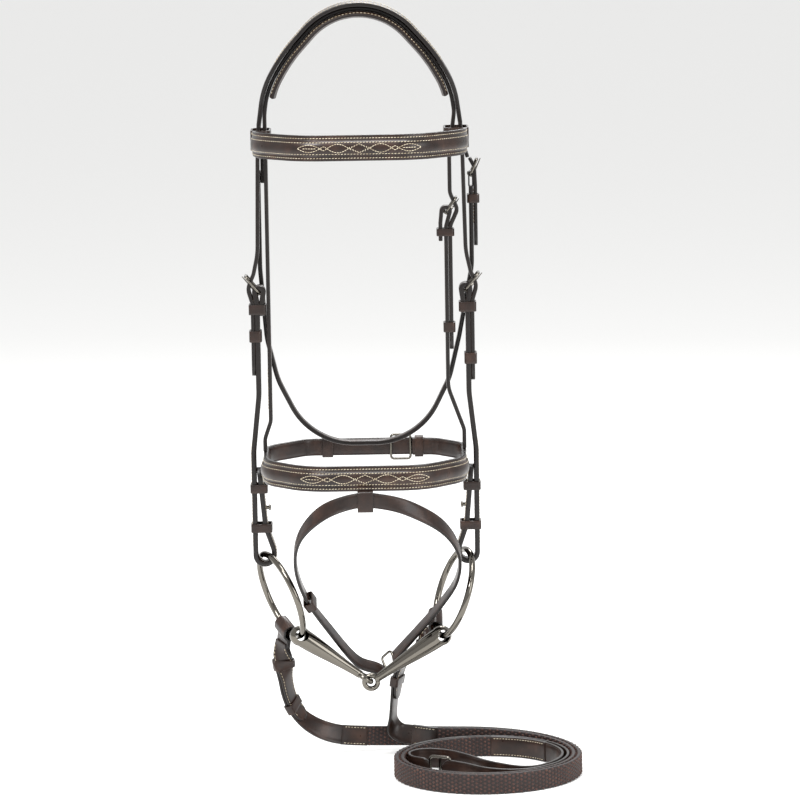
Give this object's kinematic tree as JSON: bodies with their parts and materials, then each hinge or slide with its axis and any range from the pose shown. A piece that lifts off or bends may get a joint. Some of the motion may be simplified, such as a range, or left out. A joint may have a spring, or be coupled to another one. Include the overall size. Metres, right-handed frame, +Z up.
{
  "type": "snaffle bridle",
  "caption": "Hanging English snaffle bridle with raised browband, flash noseband, loose-ring jointed bit, hook-stud cheekpieces and coiled rubber-grip reins.",
  "frame": {"origin": "poll seat: underside of the headpiece pad at the middle of the crown, where a bracket or the horse's poll carries it", "axes": "+Z up, +X to the horse's near (left) side, -Y the way the horse faces"},
  "size_m": [0.2664, 0.1788, 0.6183],
  "materials": {
    "bridle_leather": "satin, waxed havana",
    "lining_leather": "soft padded lining",
    "stainless": "polished",
    "rein_rubber": "pimpled"
  },
  "bodies": {
    "bridle": {"browband": "bridle_leather", "chin_buckle": "stainless", "chin_keeper": "bridle_leather", "flash_loop": "bridle_leather", "headpiece_pad": "lining_leather", "headpiece_strap": "bridle_leather", "near_browband_loop": "bridle_leather", "near_cheek_buckle": "stainless", "near_cheek_keepers": "bridle_leather", "near_cheekpiece": "bridle_leather", "near_chin_strap": "bridle_leather", "near_hanger": "bridle_leather", "near_hook_stud": "stainless", "near_rein_lead": "bridle_leather", "near_rein_loop": "bridle_leather", "noseband": "bridle_leather", "off_browband_loop": "bridle_leather", "off_cheek_buckle": "stainless", "off_cheek_keepers": "bridle_leather", "off_cheekpiece": "bridle_leather", "off_chin_strap": "bridle_leather", "off_hanger_tab": "bridle_leather", "off_hook_stud": "stainless", "off_rein_lead": "bridle_leather", "off_rein_loop": "bridle_leather", "rein_buckle": "stainless", "rein_coil": "rein_rubber", "sliphead": "bridle_leather", "sliphead_buckle": "stainless", "sliphead_keeper": "bridle_leather"},
    "off_ring": {"off_ring": "stainless"},
    "near_ring": {"near_ring": "stainless"},
    "off_cannon": {"off_cannon": "stainless"},
    "near_cannon": {"near_cannon": "stainless"},
    "throatlash": {"throatlash_strap": "bridle_leather", "near_throatlash_buckle": "stainless", "near_throatlash_tail": "bridle_leather", "near_throatlash_keeper": "bridle_leather"},
    "flash": {"flash_strap": "bridle_leather", "flash_buckle": "stainless", "flash_keeper": "bridle_leather"},
    "off_cheek_tongue": {"off_cheek_tongue": "stainless"},
    "near_cheek_tongue": {"near_cheek_tongue": "stainless"},
    "sliphead_tongue": {"sliphead_tongue": "stainless"},
    "near_throatlash_tongue": {"near_throatlash_tongue": "stainless"},
    "chin_tongue": {"chin_tongue": "stainless"},
    "off_cheek_runner": {"off_cheek_runner": "bridle_leather"},
    "near_cheek_runner": {"near_cheek_runner": "bridle_leather"},
    "sliphead_runner": {"sliphead_runner": "bridle_leather"},
    "chin_runner": {"chin_runner": "bridle_leather"}
  },
  "joints": [
    {"name": "off_ring_turn", "type": "hinge", "parent": "bridle", "child": "off_ring", "pos_m": [-0.0695, 0, -0.463], "axis": [0.8738, 0.3709, 0.3146], "continuous": true},
    {"name": "near_ring_turn", "type": "hinge", "parent": "bridle", "child": "near_ring", "pos_m": [0.0695, 0, -0.463], "axis": [0.9123, 0.2445, -0.3285], "continuous": true},
    {"name": "off_cannon_swing", "type": "hinge", "parent": "bridle", "child": "off_cannon", "pos_m": [0.00217, -0.0071, -0.49597], "axis": [0.9999, -0.0027, -0.0137], "range_deg": [-10, 10]},
    {"name": "near_cannon_swing", "type": "hinge", "parent": "bridle", "child": "near_cannon", "pos_m": [0.00217, -0.0071, -0.49597], "axis": [0.9999, -0.0027, -0.0137], "range_deg": [-10, 10]},
    {"name": "throatlash_swing", "type": "hinge", "parent": "bridle", "child": "throatlash", "pos_m": [0, 0.017, -0.126], "axis": [1, 0, 0], "range_deg": [0, 20]},
    {"name": "flash_swing", "type": "hinge", "parent": "bridle", "child": "flash", "pos_m": [0, -0.084, -0.373], "axis": [1, 0, 0], "range_deg": [0, 10]},
    {"name": "near_cheek_tongue_open", "type": "hinge", "parent": "bridle", "child": "near_cheek_tongue", "pos_m": [0.0824, 0, -0.2164], "axis": [0, 1, 0], "range_deg": [0, 40]},
    {"name": "off_cheek_tongue_open", "type": "hinge", "parent": "bridle", "child": "off_cheek_tongue", "pos_m": [-0.0824, 0, -0.2164], "axis": [0, -1, 0], "range_deg": [0, 40]},
    {"name": "sliphead_tongue_open", "type": "hinge", "parent": "bridle", "child": "sliphead_tongue", "pos_m": [0.068, 0, -0.1542], "axis": [0, 1, 0], "range_deg": [0, 5]},
    {"name": "near_throatlash_tongue_open", "type": "hinge", "parent": "throatlash", "child": "near_throatlash_tongue", "pos_m": [0.088, 0.017, -0.126], "axis": [0, 1, 0], "range_deg": [0, 40]},
    {"name": "chin_tongue_open", "type": "hinge", "parent": "bridle", "child": "chin_tongue", "pos_m": [0.037, 0.08, -0.355], "axis": [0, 0, 1], "range_deg": [-60, 0]},
    {"name": "off_cheek_runner_slide", "type": "slide", "parent": "bridle", "child": "off_cheek_runner", "axis": [0, 0, 1], "range_m": [-0.008, 0.006]},
    {"name": "near_cheek_runner_slide", "type": "slide", "parent": "bridle", "child": "near_cheek_runner", "axis": [0, 0, 1], "range_m": [-0.008, 0.008]},
    {"name": "sliphead_runner_slide", "type": "slide", "parent": "bridle", "child": "sliphead_runner", "axis": [0, 0, 1], "range_m": [-0.008, 0.008]},
    {"name": "chin_runner_slide", "type": "slide", "parent": "bridle", "child": "chin_runner", "axis": [1, 0, 0], "range_m": [-0.005, 0.008]}
  ],
  "couplings": [
    {"joint": "near_cannon_swing", "follows": "off_cannon_swing", "ratio": 1}
  ]
}
